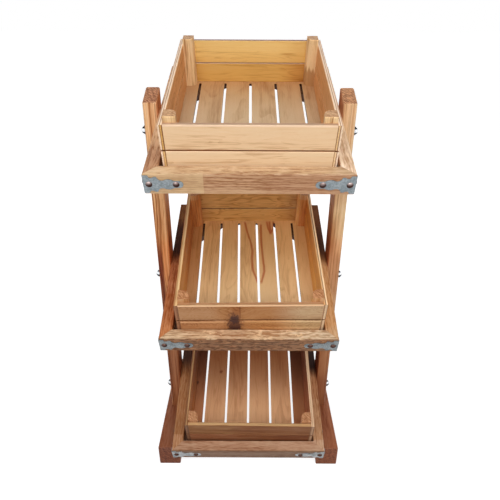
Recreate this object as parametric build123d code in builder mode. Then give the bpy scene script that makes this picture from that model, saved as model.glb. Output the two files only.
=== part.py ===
"""Three tier crate stand: posts on foot runners carry tilted trays, each with a lift-out slatted crate."""
import os
from math import cos, radians, sin, sqrt, tan

from build123d import *

# Tiers: tilt of the trays, height step, and gap from the lowest tray to the feet
tray_tilt = 18.0
tier_pitch = 375.5
tray_foot_gap = 8.1

# Reach of the trays ahead of the posts' middle, and how much further forward each one stands
tray_reach = 225.0
tray_forward = {"bottom": 0.0, "middle": 11.0, "top": 0.0}

# Tray frames: front bar mitred to the side rails, a lower back bar between them
tray_width = 400.0
tray_depth = 462.0
bar_width = 27.0
bar_height = 47.0
back_bar_height = 33.0
bar_edge = 1.5

# Corner plates inside the tray frames, on which a crate sits
front_gusset_leg = 105.0
back_gusset_leg = 129.0
gusset_thickness = 16.0
gusset_lift = 9.3

# Posts
post_thickness = 31.0
post_depth = 57.0
post_rise = 29.0
post_top_slope = 24.0
post_edge_radius = 4.0
post_top_edge = 1.5

# Stub tenons of the posts
tenon_length = 40.0
tenon_width = 40.0
tenon_thickness = 16.0
tenon_clearance = 0.1

# Foot runners
foot_length = 363.0
foot_width = 57.5
foot_height = 64.0
foot_inset = 10.5
foot_edge = 2.0

# Hanger studs from the rails through the posts, and their cap nuts
stud_diameter = 10.0
stud_depth = 20.0
stud_hole_clearance = 0.2
stud_rise = 9.5
stud_forward = 8.0
stud_end_gap = 0.8
nut_across_flats = 17.0
nut_hex_height = 6.0
nut_height = 11.5
nut_dome_wall = 2.5
nut_dome_inset = 0.6
thread_clearance = 0.05

# Loose tongues between rails and posts, beside the studs
tongue_length = 24.0
tongue_width = 24.0
tongue_thickness = 8.0
tongue_drop = 14.0
tongue_back = 8.0
tongue_clearance = 0.1
tongue_end_gap = 0.5

# Corner brackets of sheet steel round the trays' front corners
bracket_thickness = 1.0
bracket_margin = 3.0
bracket_length = 75.2
bracket_first_hump = 9.5
bracket_notch_width = 11.0
bracket_notch_depth = 5.5
bracket_hump_drop = 3.3
bracket_wing = 26.0
bracket_shoulder_run = 2.6
bracket_shoulder_rise = 2.2
bracket_waist_run = 13.0
bracket_waist_half = 9.4
bracket_bulge_half = 11.6
bracket_tip_length = 17.5
bracket_tip_radius = 8.0
bracket_bend_radius = 0.9

# Heads of the bracket screws
screw_head_diameter = 13.0
screw_head_height = 3.6
screw_head_bevel = 2.9
screw_head_sides = 12
screw_first = 10.3
screw_tip_inset = 13.6

# Crates
crate_side_gap = 8.0
crate_front_gap = 3.0
crate_back_gap = 17.0
crate_seat_gap = 0.1
crate_offset = {"bottom": 4.5, "middle": 1.3, "top": 0.6}
crate_turn = {"bottom": -0.46, "middle": 0.8, "top": 0.0}
board_thickness = 9.0
upper_board_height = 51.5
lower_board_height = 45.0
board_gap = 3.0
board_edge = 0.8
floor_thickness = 6.0
slot_width = 6.0
slot_side_margin = 37.8
slot_end_margin = 19.0
slot_shift = {"bottom": -4.4, "middle": -2.8, "top": 0.7}
bottom_slot_count = 5
middle_slot_count = 6
top_slot_count = 5
corner_post_size = 24.0
corner_post_round = 15.0
corner_post_rise = 12.0

# Places shared by the pieces, worked out from the sizes above
tilt = radians(tray_tilt)
along = Vector(0, cos(tilt), sin(tilt))
upward = Vector(0, -sin(tilt), cos(tilt))
rail_axis = Axis((0, 0, 0), along)
lift_axis = Axis((0, 0, 0), upward)
tiers = ("bottom", "middle", "top")
sides = {"left": -1, "right": 1}
slot_counts = {"bottom": bottom_slot_count, "middle": middle_slot_count, "top": top_slot_count}

half_width = tray_width / 2
inner_half = half_width - bar_width
tray_footprint = tray_depth * cos(tilt) + bar_height * sin(tilt)
bracket_lead = bracket_thickness * cos(tilt) - bracket_margin * sin(tilt)
post_y = tray_reach + (max(tray_forward.values()) + bracket_lead - tray_footprint) / 2
post_front_y = post_y - post_depth / 2
post_outer = half_width + post_thickness
foot_front_y = post_y - foot_length / 2
lowest_tray = (
    foot_height
    + tray_foot_gap
    + bar_height / cos(tilt)
    - (foot_front_y - post_y + tray_reach) * tan(tilt)
)

stud_drop = bar_height - stud_rise
stud_y = post_y - stud_forward
stud_reach = post_outer + nut_height - nut_dome_wall - stud_end_gap
tongue_y = post_y + tongue_back

bracket_half = bar_height / 2 - bracket_margin
waist_at = bracket_wing + bracket_waist_run
neck_at = bracket_length - bracket_tip_length
bulge_at = (waist_at + neck_at) / 2
screw_places = (screw_first, bracket_length - screw_tip_inset)

ledge_drop = bar_height - gusset_lift - gusset_thickness
crate_base = crate_seat_gap - ledge_drop
crate_floor = crate_base + floor_thickness
lower_top = crate_floor + lower_board_height
upper_base = lower_top + board_gap
wall_top = upper_base + upper_board_height
crate_front = bar_width + crate_front_gap
crate_back = tray_depth - bar_width - crate_back_gap
crate_middle = (crate_front + crate_back) / 2
half_length = (crate_back - crate_front) / 2
crate_half = inner_half - crate_side_gap


def tray_front(tier):
    """Depth of a tray's front edge."""
    return post_y - tray_reach - tray_forward[tier]


def tray_plane(tier):
    """Plane of a tray's top face: X across, Y back along the rails, Z square to the tray."""
    height = lowest_tray + tiers.index(tier) * tier_pitch
    return Plane(origin=(0, tray_front(tier), height), x_dir=(1, 0, 0), z_dir=upward)


def crate_plane(tier, height):
    """Plane at a height over a tray's top face, in the middle of its crate and turned with it."""
    origin = tray_plane(tier).from_local_coords((crate_offset[tier], crate_middle, height))
    turn = radians(crate_turn[tier])
    across = Vector(cos(turn), 0, 0) + along * sin(turn)
    return Plane(origin=origin, x_dir=across, z_dir=upward)


def rail_point(tier, y, drop):
    """Point on the middle plane at depth y, a given drop below the tray's top face."""
    run = (y - tray_front(tier) - drop * sin(tilt)) / cos(tilt)
    return tray_plane(tier).from_local_coords((0, run, -drop))


def stud_plane(tier, x, side):
    """Plane square to a stud, at x and facing outward."""
    point = rail_point(tier, stud_y, stud_drop)
    return Plane(origin=(x, point.Y, point.Z), x_dir=(0, 0, 1), z_dir=(side, 0, 0))


def save(piece, label):
    """Label a finished piece and write it as its own node."""
    piece.part.label = label
    export_step(piece.part, f"parts/{label}.step")


def foot(side):
    """Foot runner, a plain block with a mortise for the post's stub tenon."""
    centre_x = side * (half_width - foot_inset + foot_width / 2)
    post_x = side * (half_width + post_thickness / 2)
    with BuildPart() as runner:
        with BuildSketch(Plane.XY):
            with Locations((centre_x, post_y)):
                Rectangle(foot_width, foot_length)
        extrude(amount=foot_height)
        chamfer(runner.edges(), length=foot_edge)
        with BuildSketch(Plane.XY.offset(foot_height)):
            with Locations((post_x, post_y)):
                Rectangle(tenon_thickness + 2 * tenon_clearance, tenon_width + 2 * tenon_clearance)
        extrude(amount=-(tenon_length + tenon_clearance), mode=Mode.SUBTRACT)
    return runner


def cut_tongue_slot(tier, side):
    """Cut the slot of a loose tongue in the piece being built, across the joint of rail and post."""
    point = rail_point(tier, tongue_y, tongue_drop)
    place = Plane(origin=(side * half_width, point.Y, point.Z), x_dir=(1, 0, 0), z_dir=upward)
    with Locations(Location(place)):
        Box(
            tongue_length + 2 * tongue_end_gap,
            tongue_width + 2 * tongue_clearance,
            tongue_thickness + 2 * tongue_clearance,
            mode=Mode.SUBTRACT,
        )


def cut_stud_hole(tier, side, start, depth):
    """Cut a stud's hole in the piece being built, inward from x = start on one side."""
    with Locations(Location(stud_plane(tier, side * start, side))):
        Cylinder(
            stud_diameter / 2 + stud_hole_clearance,
            depth,
            align=(Align.CENTER, Align.CENTER, Align.MAX),
            mode=Mode.SUBTRACT,
        )


def post(side):
    """Upright post, its top cut on the slant, with a stub tenon, stud holes and tongue slots."""
    inner_face = Plane(origin=(side * half_width, 0, 0), x_dir=(0, 1, 0), z_dir=(1, 0, 0))
    back_y = post_front_y + post_depth
    rail_top = tray_plane("top").origin.Z + (post_front_y - tray_front("top")) * tan(tilt)
    front_top = rail_top + post_rise
    back_top = front_top + post_depth * tan(radians(post_top_slope))
    post_x = side * (half_width + post_thickness / 2)
    with BuildPart() as upright:
        with BuildSketch(inner_face):
            with BuildLine():
                Polyline(
                    (post_front_y, foot_height),
                    (back_y, foot_height),
                    (back_y, back_top),
                    (post_front_y, front_top),
                    close=True,
                )
            make_face()
        extrude(amount=side * post_thickness)
        fillet(upright.edges().filter_by(Axis.Z), radius=post_edge_radius)
        chamfer(upright.faces().sort_by(Axis.Z)[-1].edges(), length=post_top_edge)
        with BuildSketch(Plane.XY.offset(foot_height)):
            with Locations((post_x, post_y)):
                Rectangle(tenon_thickness, tenon_width)
        extrude(amount=-tenon_length)
        for tier in tiers:
            cut_stud_hole(tier, side, post_outer, post_thickness)
            cut_tongue_slot(tier, side)
    return upright


def tray_bar(tier, outline, grain, height):
    """One bar of a tray, its long edges eased."""
    with BuildPart() as bar:
        with BuildSketch(tray_plane(tier)):
            with BuildLine():
                Polyline(*outline, close=True)
            make_face()
        extrude(amount=-height)
        chamfer(bar.edges().filter_by(grain), length=bar_edge)
    return bar


def front_bar(tier):
    """Front bar of a tray, mitred to the side rails."""
    outline = [
        (-half_width, 0),
        (half_width, 0),
        (inner_half, bar_width),
        (-inner_half, bar_width),
    ]
    return tray_bar(tier, outline, Axis.X, bar_height)


def back_bar(tier):
    """Back bar of a tray, butted between the side rails."""
    outline = [
        (-inner_half, tray_depth - bar_width),
        (inner_half, tray_depth - bar_width),
        (inner_half, tray_depth),
        (-inner_half, tray_depth),
    ]
    return tray_bar(tier, outline, Axis.X, back_bar_height)


def side_rail(tier, side):
    """Side rail of a tray, with a blind hole for its stud and a slot for its tongue."""
    outline = [
        (side * half_width, 0),
        (side * half_width, tray_depth),
        (side * inner_half, tray_depth),
        (side * inner_half, bar_width),
    ]
    blank = tray_bar(tier, outline, rail_axis, bar_height)
    with BuildPart() as rail:
        add(blank.part)
        cut_stud_hole(tier, side, half_width, stud_depth + stud_end_gap)
        cut_tongue_slot(tier, side)
    return rail


def corner_gussets(tier):
    """Four triangular corner plates that brace the frame and carry the crate, the back ones larger."""
    middle = tray_depth / 2
    with BuildPart() as plates:
        with BuildSketch(tray_plane(tier).offset(-ledge_drop)):
            for side in sides.values():
                for end, leg in ((-1, front_gusset_leg), (1, back_gusset_leg)):
                    corner_x = side * inner_half
                    corner_y = middle + end * (middle - bar_width)
                    with BuildLine():
                        Polyline(
                            (corner_x, corner_y),
                            (corner_x - side * leg, corner_y),
                            (corner_x, corner_y - end * leg),
                            close=True,
                        )
                    make_face()
        extrude(amount=-gusset_thickness)
    return plates


def bracket_outline():
    """Half outline of a bracket leg: two humps with a notch between, waist, swelling and round tip."""
    notch_end = bracket_first_hump + bracket_notch_width
    notch_slope = bracket_notch_width / 4
    notch_floor = bracket_half - bracket_notch_depth
    second_half = bracket_half - bracket_hump_drop
    tip_start = bracket_length - bracket_tip_radius
    tip_step = bracket_tip_radius / sqrt(2)
    Line((-bracket_thickness, 0), (-bracket_thickness, bracket_half))
    Polyline(
        (-bracket_thickness, bracket_half),
        (bracket_first_hump, bracket_half),
        (bracket_first_hump + notch_slope, notch_floor),
        (notch_end - notch_slope, notch_floor),
        (notch_end, second_half),
        (bracket_wing, second_half),
    )
    ThreePointArc(
        (bracket_wing, second_half),
        (bracket_wing + bracket_shoulder_run, bracket_waist_half + bracket_shoulder_rise),
        (waist_at, bracket_waist_half),
    )
    ThreePointArc(
        (waist_at, bracket_waist_half),
        (bulge_at, bracket_bulge_half),
        (neck_at, bracket_tip_radius),
    )
    Line((neck_at, bracket_tip_radius), (tip_start, bracket_tip_radius))
    ThreePointArc(
        (tip_start, bracket_tip_radius), (tip_start + tip_step, tip_step), (bracket_length, 0)
    )


def corner_brackets(tier):
    """Two bent sheet brackets round the tray's front corners."""
    corner = tray_plane(tier).from_local_coords((-half_width, 0, -bar_height / 2))
    legs = (
        (Plane(origin=corner, x_dir=(1, 0, 0), z_dir=-along), 1),
        (Plane(origin=corner, x_dir=along, z_dir=(1, 0, 0)), -1),
    )
    with BuildPart() as brackets:
        for plane, outward in legs:
            with BuildSketch(plane):
                with BuildLine() as edge:
                    bracket_outline()
                    mirror(edge.line, about=Plane.XZ)
                make_face()
            extrude(amount=outward * bracket_thickness)
        bend = brackets.edges().filter_by(lift_axis).group_by(Axis.X)[0]
        fillet(bend.sort_by(rail_axis)[0], radius=bracket_bend_radius)
        mirror(about=Plane.YZ)
    return brackets


def bracket_screws(tier):
    """Low domed heads of the screws that hold the brackets."""
    tray = tray_plane(tier)
    middle = -bar_height / 2
    seats = []
    for side in sides.values():
        for place in screw_places:
            front = tray.from_local_coords((side * (half_width - place), -bracket_thickness, middle))
            flank = tray.from_local_coords((side * (half_width + bracket_thickness), place, middle))
            seats.append(Plane(origin=front, x_dir=(1, 0, 0), z_dir=-along))
            seats.append(Plane(origin=flank, x_dir=along, z_dir=(side, 0, 0)))
    with BuildPart() as heads:
        for seat in seats:
            with BuildSketch(seat):
                RegularPolygon(screw_head_diameter / 2, screw_head_sides)
            extrude(amount=screw_head_height)
            crown = heads.faces(Select.LAST).sort_by(Axis(seat.origin, seat.z_dir))[-1]
            chamfer(crown.edges(), length=screw_head_bevel)
    return heads


def tray_studs():
    """Headless studs, screwed into the rails and passing through the posts."""
    inner_end = half_width - stud_depth
    with BuildPart() as studs:
        for side in sides.values():
            for tier in tiers:
                with BuildSketch(stud_plane(tier, side * inner_end, side)):
                    Circle(stud_diameter / 2)
                extrude(amount=stud_reach - inner_end)
    return studs


def cap_nuts():
    """Hexagon nuts closed by a dome, on the studs' outer ends."""
    dome_radius = nut_across_flats / 2 - nut_dome_inset
    dome_rise = nut_height - nut_hex_height
    sphere = (dome_radius**2 + dome_rise**2) / (2 * dome_rise)
    part_way = dome_radius / sqrt(2)
    part_rise = nut_height - sphere + sqrt(sphere**2 - part_way**2)
    with BuildPart() as nuts:
        for side in sides.values():
            for tier in tiers:
                seat = stud_plane(tier, side * post_outer, side)
                axial = Plane(origin=seat.origin, x_dir=seat.z_dir, z_dir=seat.y_dir)
                with BuildSketch(seat):
                    RegularPolygon(nut_across_flats / 2, 6, major_radius=False)
                extrude(amount=nut_hex_height)
                with BuildSketch(axial):
                    with BuildLine():
                        Polyline(
                            (nut_height, 0),
                            (nut_hex_height, 0),
                            (nut_hex_height, dome_radius),
                            (part_rise, part_way),
                            close=True,
                        )
                    make_face()
                revolve(axis=Axis(seat.origin, seat.z_dir))
                with BuildSketch(seat):
                    Circle(stud_diameter / 2 + thread_clearance)
                extrude(amount=nut_height - nut_dome_wall, mode=Mode.SUBTRACT)
    return nuts


def tray_tongues():
    """Loose tongues, half in the rail and half in the post, that keep a tray from turning."""
    with BuildPart() as tongues:
        for side in sides.values():
            for tier in tiers:
                point = rail_point(tier, tongue_y, tongue_drop)
                origin = (side * half_width, point.Y, point.Z)
                with Locations(Location(Plane(origin=origin, x_dir=(1, 0, 0), z_dir=upward))):
                    Box(tongue_length, tongue_width, tongue_thickness)
    return tongues


def crate_board(tier, x_span, y_span, z_span):
    """One board of a crate wall between its bounds in the crate's frame, long edges eased."""
    base = crate_plane(tier, z_span[0])
    width = x_span[1] - x_span[0]
    depth = y_span[1] - y_span[0]
    grain = base.x_dir if width > depth else base.y_dir
    with BuildPart() as board:
        with BuildSketch(base):
            with Locations((sum(x_span) / 2, sum(y_span) / 2)):
                Rectangle(width, depth)
        extrude(amount=z_span[1] - z_span[0])
        chamfer(board.edges().filter_by(Axis((0, 0, 0), grain)), length=board_edge)
    return board


def crate_walls(tier):
    """The boards of one crate, by name: the ends fit between the side boards."""
    end_half = crate_half - board_thickness
    end_inner = half_length - board_thickness
    courses = {"upper": (upper_base, wall_top), "lower": (crate_floor, lower_top)}
    walls = {
        "front": ((-end_half, end_half), (-half_length, -end_inner)),
        "back": ((-end_half, end_half), (end_inner, half_length)),
        "left": ((-crate_half, -end_half), (-half_length, half_length)),
        "right": ((end_half, crate_half), (-half_length, half_length)),
    }
    boards = {}
    for course, z_span in courses.items():
        for wall, (x_span, y_span) in walls.items():
            boards[f"{wall}_{course}_board"] = crate_board(tier, x_span, y_span, z_span)
    return boards


def crate_corner_posts(tier):
    """Four corner posts inside the crate, round on the inner edge and taller than the walls."""
    inner_x = crate_half - board_thickness
    inner_y = half_length - board_thickness
    bend = corner_post_round * (1 - 1 / sqrt(2))
    with BuildPart() as posts:
        with BuildSketch(crate_plane(tier, crate_floor)):
            for side in sides.values():
                for end in (-1, 1):
                    near_x = side * (inner_x - corner_post_size)
                    near_y = end * (inner_y - corner_post_size)
                    far_x = side * inner_x
                    far_y = end * inner_y
                    arc_x = near_x + side * corner_post_round
                    arc_y = near_y + end * corner_post_round
                    with BuildLine():
                        Polyline((near_x, arc_y), (near_x, far_y), (far_x, far_y))
                        Polyline((far_x, far_y), (far_x, near_y), (arc_x, near_y))
                        ThreePointArc(
                            (arc_x, near_y),
                            (near_x + side * bend, near_y + end * bend),
                            (near_x, arc_y),
                        )
                    make_face()
        extrude(amount=wall_top + corner_post_rise - crate_floor)
    return posts


def crate_slats(tier):
    """Floor panel: slats running front to back, parted by slots that stop short of its ends."""
    count = slot_counts[tier]
    outer_slot = crate_half - slot_side_margin - slot_width / 2
    pitch = 2 * outer_slot / (count - 1)
    slots = [(slot_shift[tier] - outer_slot + pitch * step, 0) for step in range(count)]
    half_slot = slot_width / 2
    slot_end = half_length - slot_end_margin
    slot_nose = slot_width * (1 - 1 / sqrt(2))
    with BuildPart() as floor:
        with BuildSketch(crate_plane(tier, crate_base)):
            Rectangle(2 * crate_half, 2 * half_length)
            with Locations(*slots):
                Polygon(
                    (half_slot, slot_end - slot_nose),
                    (half_slot - slot_nose, slot_end),
                    (slot_nose - half_slot, slot_end),
                    (-half_slot, slot_end - slot_nose),
                    (-half_slot, slot_nose - slot_end),
                    (slot_nose - half_slot, -slot_end),
                    (half_slot - slot_nose, -slot_end),
                    (half_slot, slot_nose - slot_end),
                    mode=Mode.SUBTRACT,
                )
        extrude(amount=floor_thickness)
    return floor


def build_frame():
    """Feet, posts and what joins the trays to them."""
    for word, side in sides.items():
        save(foot(side), f"{word}_foot")
        save(post(side), f"{word}_post")
    save(tray_studs(), "tray_studs")
    save(cap_nuts(), "cap_nuts")
    save(tray_tongues(), "tray_tongues")


def build_tray(tier):
    """One tray: bars and rails, corner plates, front brackets and their screws."""
    save(front_bar(tier), f"{tier}_tray_front_bar")
    save(back_bar(tier), f"{tier}_tray_back_bar")
    for word, side in sides.items():
        save(side_rail(tier, side), f"{tier}_tray_{word}_rail")
    save(corner_gussets(tier), f"{tier}_tray_corner_gussets")
    save(corner_brackets(tier), f"{tier}_tray_corner_brackets")
    save(bracket_screws(tier), f"{tier}_tray_bracket_screws")


def build_crate(tier):
    """One lift-out crate: wall boards, corner posts and the slotted floor."""
    for name, board in crate_walls(tier).items():
        save(board, f"{tier}_crate_{name}")
    save(crate_corner_posts(tier), f"{tier}_crate_corner_posts")
    save(crate_slats(tier), f"{tier}_crate_floor_slats")


os.makedirs("parts", exist_ok=True)
build_frame()
for level in tiers:
    build_tray(level)
    build_crate(level)
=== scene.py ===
from math import cos, pi, radians, sin

import bmesh
import bpy
from mathutils import Matrix, Vector


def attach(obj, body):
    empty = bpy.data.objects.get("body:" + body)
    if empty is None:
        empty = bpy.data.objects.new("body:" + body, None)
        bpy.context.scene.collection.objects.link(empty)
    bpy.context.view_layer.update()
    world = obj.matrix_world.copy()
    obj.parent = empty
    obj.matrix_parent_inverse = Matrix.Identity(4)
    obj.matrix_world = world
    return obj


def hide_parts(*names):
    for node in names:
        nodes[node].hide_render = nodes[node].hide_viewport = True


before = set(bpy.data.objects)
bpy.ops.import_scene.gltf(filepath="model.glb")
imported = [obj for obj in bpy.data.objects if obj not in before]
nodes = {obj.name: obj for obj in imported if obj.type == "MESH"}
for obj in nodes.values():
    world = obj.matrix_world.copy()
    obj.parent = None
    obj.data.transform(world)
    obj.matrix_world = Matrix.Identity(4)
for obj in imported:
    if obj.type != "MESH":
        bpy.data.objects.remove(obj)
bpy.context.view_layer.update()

scene = bpy.context.scene

# Trays and crates as they stand in the part, in metres
TIERS = ("bottom", "middle", "top")
SIDES = {"left": -1, "right": 1}
WALLS = ("front", "back", "left", "right")
TILT = radians(18.0)
ALONG = Vector((0.0, cos(TILT), sin(TILT)))
UPWARD = Vector((0.0, -sin(TILT), cos(TILT)))
TRAY_FRONT = {"bottom": -0.22144, "middle": -0.23244, "top": -0.22144}
LOWEST_TRAY = 0.10738
TRAY_PITCH = 0.3755
TRAY_LEVEL = {tier: LOWEST_TRAY + row * TRAY_PITCH for row, tier in enumerate(TIERS)}
TRAY_HALF_WIDTH = 0.2
BAR_HEIGHT = 0.047
CRATE_MIDDLE = 0.224
CRATE_SHIFT = {"bottom": 0.0045, "middle": 0.0013, "top": 0.0006}
CRATE_TURN = {"bottom": radians(-0.46), "middle": radians(0.8), "top": 0.0}
CRATE_HALF_WIDTH = 0.165
CRATE_HALF_LENGTH = 0.194
CRATE_BASE = -0.0216
BOARD = 0.009
FLOOR_PANEL = 0.006


def spot(tier, x, y, z):
    """Point of a tray: x across, y back along the rails, z square to the tray."""
    return Vector((x, TRAY_FRONT[tier], TRAY_LEVEL[tier])) + ALONG * y + UPWARD * z


# Frames in which the wood's grain is laid: origin and turn
places = {"stand": (Vector(), Matrix.Identity(3))}
for tier in TIERS:
    tilted = Matrix.Rotation(TILT, 3, "X")
    turned = tilted @ Matrix.Rotation(CRATE_TURN[tier], 3, "Z")
    places[f"{tier}_tray"] = (spot(tier, 0, 0, 0), tilted)
    places[f"{tier}_crate"] = (spot(tier, CRATE_SHIFT[tier], CRATE_MIDDLE, 0), turned)


WHITE = (1.0, 1.0, 1.0, 1.0)
# Dark figure: share by which red, green and blue fall; light figure: the screen colour it tends to
DARKENING = (0.85, 1.25, 1.6)
PALE_WOOD = (250, 240, 215)


def grey(value):
    return (value, value, value, 1.0)


def linear(*screen):
    """Colour written as screen values of red, green and blue from 0 to 255."""
    def one(c):
        c = min(max(c, 0.0), 255.0) / 255.0
        return c / 12.92 if c <= 0.04045 else ((c + 0.055) / 1.055) ** 2.4
    return (*(one(c) for c in screen), 1.0)


def shades(tone, depth, lift):
    """Dark, middle and light tone of one wood; the dark one is redder."""
    dark = tuple(c * (1 - share * depth) for c, share in zip(tone, DARKENING))
    light = tuple(c + (pale - c) * lift for c, pale in zip(tone, PALE_WOOD))
    return dark, tone, light


class Graph:
    """Short hand for building the nodes of a material or world."""

    def __init__(self, owner):
        self.owner = owner
        owner.use_nodes = True
        self.tree = owner.node_tree
        self.tree.nodes.clear()

    def node(self, kind, **settings):
        """New node, its kind written without the prefix."""
        made = self.tree.nodes.new("ShaderNode" + kind)
        for key, value in settings.items():
            setattr(made, key, value)
        return made

    def put(self, value, socket):
        """Link a socket to another, or set its constant."""
        if isinstance(value, bpy.types.NodeSocket):
            self.tree.links.new(value, socket)
        else:
            socket.default_value = value

    def fill(self, made, *values):
        """Set a node's inputs in order, and give its first output."""
        for value, socket in zip(values, made.inputs):
            self.put(value, socket)
        return made.outputs[0]

    def named(self, made, **values):
        """Set a node's inputs by name, and give its first output."""
        for key, value in values.items():
            self.put(value, made.inputs[key.replace("_", " ")])
        return made.outputs[0]

    def math(self, operation, *values):
        return self.fill(self.node("Math", operation=operation), *values)

    def plus(self, a, b):
        return self.math("ADD", a, b)

    def minus(self, a, b):
        return self.math("SUBTRACT", a, b)

    def times(self, a, b):
        return self.math("MULTIPLY", a, b)

    def over(self, a, b):
        return self.math("DIVIDE", a, b)

    def times_plus(self, a, b, c):
        return self.math("MULTIPLY_ADD", a, b, c)

    def about(self, value, weight, base):
        """Base plus the weighted distance of a noise value from its middle."""
        return self.times_plus(self.minus(value, 0.5), weight, base)

    def oval(self, a, b, centre, size):
        """Distance from a centre, 1 at the rim of an oval."""
        a = self.over(self.minus(a, centre[0]), size[0])
        b = self.over(self.minus(b, centre[1]), size[1])
        return self.math("SQRT", self.plus(self.times(a, a), self.times(b, b)))

    def combine(self, x, y, z):
        return self.fill(self.node("CombineXYZ"), x, y, z)

    def split(self, vector):
        made = self.node("SeparateXYZ")
        self.put(vector, made.inputs[0])
        return made.outputs

    def dot(self, vector, direction):
        made = self.node("VectorMath", operation="DOT_PRODUCT")
        self.fill(made, vector, tuple(direction))
        return made.outputs["Value"]

    def length(self, vector):
        made = self.node("VectorMath", operation="LENGTH")
        self.fill(made, vector)
        return made.outputs["Value"]

    def coords(self):
        """Place on the part, in its own frame."""
        return self.node("TexCoord").outputs["Object"]

    def normal(self):
        return self.node("NewGeometry").outputs["Normal"]

    def scaled(self, vector, scale):
        return self.named(self.node("Mapping"), Vector=vector, Scale=(scale, scale, scale))

    def noise(self, vector, detail=2.0, roughness=0.5, distortion=0.0):
        return self.named(
            self.node("TexNoise", noise_dimensions="3D"),
            Vector=vector, Scale=1.0, Detail=detail, Roughness=roughness, Distortion=distortion,
        )

    def step(self, value, low, high, to_low=0.0, to_high=1.0, smooth=True):
        kind = "SMOOTHSTEP" if smooth else "LINEAR"
        made = self.node("MapRange", interpolation_type=kind, clamp=True)
        return self.fill(made, value, low, high, to_low, to_high)

    def between(self, value, low, high, soft):
        """1 from low to high, with soft ends."""
        rising = self.step(value, low - soft, low + soft)
        return self.times(rising, self.step(value, high + soft, high - soft))

    def ramp(self, value, stops, interpolation="LINEAR"):
        made = self.node("ValToRGB")
        made.color_ramp.interpolation = interpolation
        steps = made.color_ramp.elements
        while len(steps) < len(stops):
            steps.new(0.5)
        for element, (place, colour) in zip(steps, stops):
            element.position = place
            element.color = colour
        return self.fill(made, value)

    def mix(self, factor, a, b, blend="MIX"):
        """Mix of two colours, whose sockets come after those for numbers and vectors."""
        made = self.node("Mix", data_type="RGBA", blend_type=blend)
        for value, k in ((factor, 0), (a, 6), (b, 7)):
            self.put(value, made.inputs[k])
        return made.outputs[2]

    def bump(self, height, strength, distance):
        return self.named(self.node("Bump"), Height=height, Strength=strength, Distance=distance)

    def shader(self, kind, **sockets):
        return self.named(self.node(kind), **sockets)

    def seen(self):
        """1 on rays that show a surface: to the camera, by a mirror or through glass."""
        rays = self.node("LightPath").outputs
        direct = self.math("MAXIMUM", rays["Is Camera Ray"], rays["Is Glossy Ray"])
        return self.math("MAXIMUM", direct, rays["Is Transmission Ray"])

    def output(self, shader, kind="OutputMaterial"):
        self.put(shader, self.node(kind).inputs["Surface"])
        return self.owner


# Layers of the wood's figure: length, width, shift along the grain, detail, distortion
BANDS = (0.55, 0.04, 3.1, 2.0)
STRIPES = (0.22, 0.0075, 7.7, 3.0, 0.3)
FIBRES = (0.03, 0.0012, 11.3, 2.0)
CLOUD = (0.075, 0.045, 15.9, 2.0)
PORES = (0.01, 0.0007, 29.0, 1.0)
# The same without length and width, which each piece gives
FLECKS = (13.7, 2.0)
MOTTLE = (19.0, 2.0, 0.6)
SWIRL = (23.0, 1.2, 0.4)
# Weight of each layer in the tone
WEIGHT = {"bands": 1.4, "stripes": 1.15, "flecks": 1.3, "fibres": 0.55, "cloud": 0.5}
# Late wood: where a line starts, is darkest and has ended, as shares of the spacing
RING_LINE = (0.25, 0.9, 0.94)
SWIRL_LINE = (0.3, 0.92, 0.95)
# How squarely a face looks along an axis, from none to full
FACING = (0.55, 0.75)
END_FACING = (0.55, 0.8)
NARROW_FACING = (0.62, 0.42)
# Single lines: sideways waver, sharp core as a share of the width, fade at the ends
TRACE_WAVER, TRACE_CORE, TRACE_FADE = 0.004, 0.2, 0.006
# Knots: push on the grain, ragged rim, and how far and how strongly halo and core show
KNOT_REACH, KNOT_FORCE = 2.4, 0.8
KNOT_RAGGED, KNOT_SCALE = 2.4, (230.0, 110.0)
KNOT_HALO = (1.7, 0.8, 0.0, 0.55)
KNOT_CORE = (1.05, 0.7, 0.0, 0.9)
# Plies: waver between them, and darker wear in the flecks
PLY_WAVER = 0.1
PLY_WEAR = (0.46, 0.66, 0.0, 0.5)
PLY_WEAR_TINT = (0.62, 0.54, 0.46, 1.0)
# Scales of the end grain's arcs and of the grain's wander, and waver of the growth rings
END_ARCS = (300.0, 70.0)
WANDER_SCALE = (5.0, 10.0)
RING_WAVER = 1.3
# Strength and depth of the relief, and roughness of the dark and light figure
WOOD_RELIEF = (0.25, 0.0006)
WOOD_ROUGHNESS = (0.6, 0.44)


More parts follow.
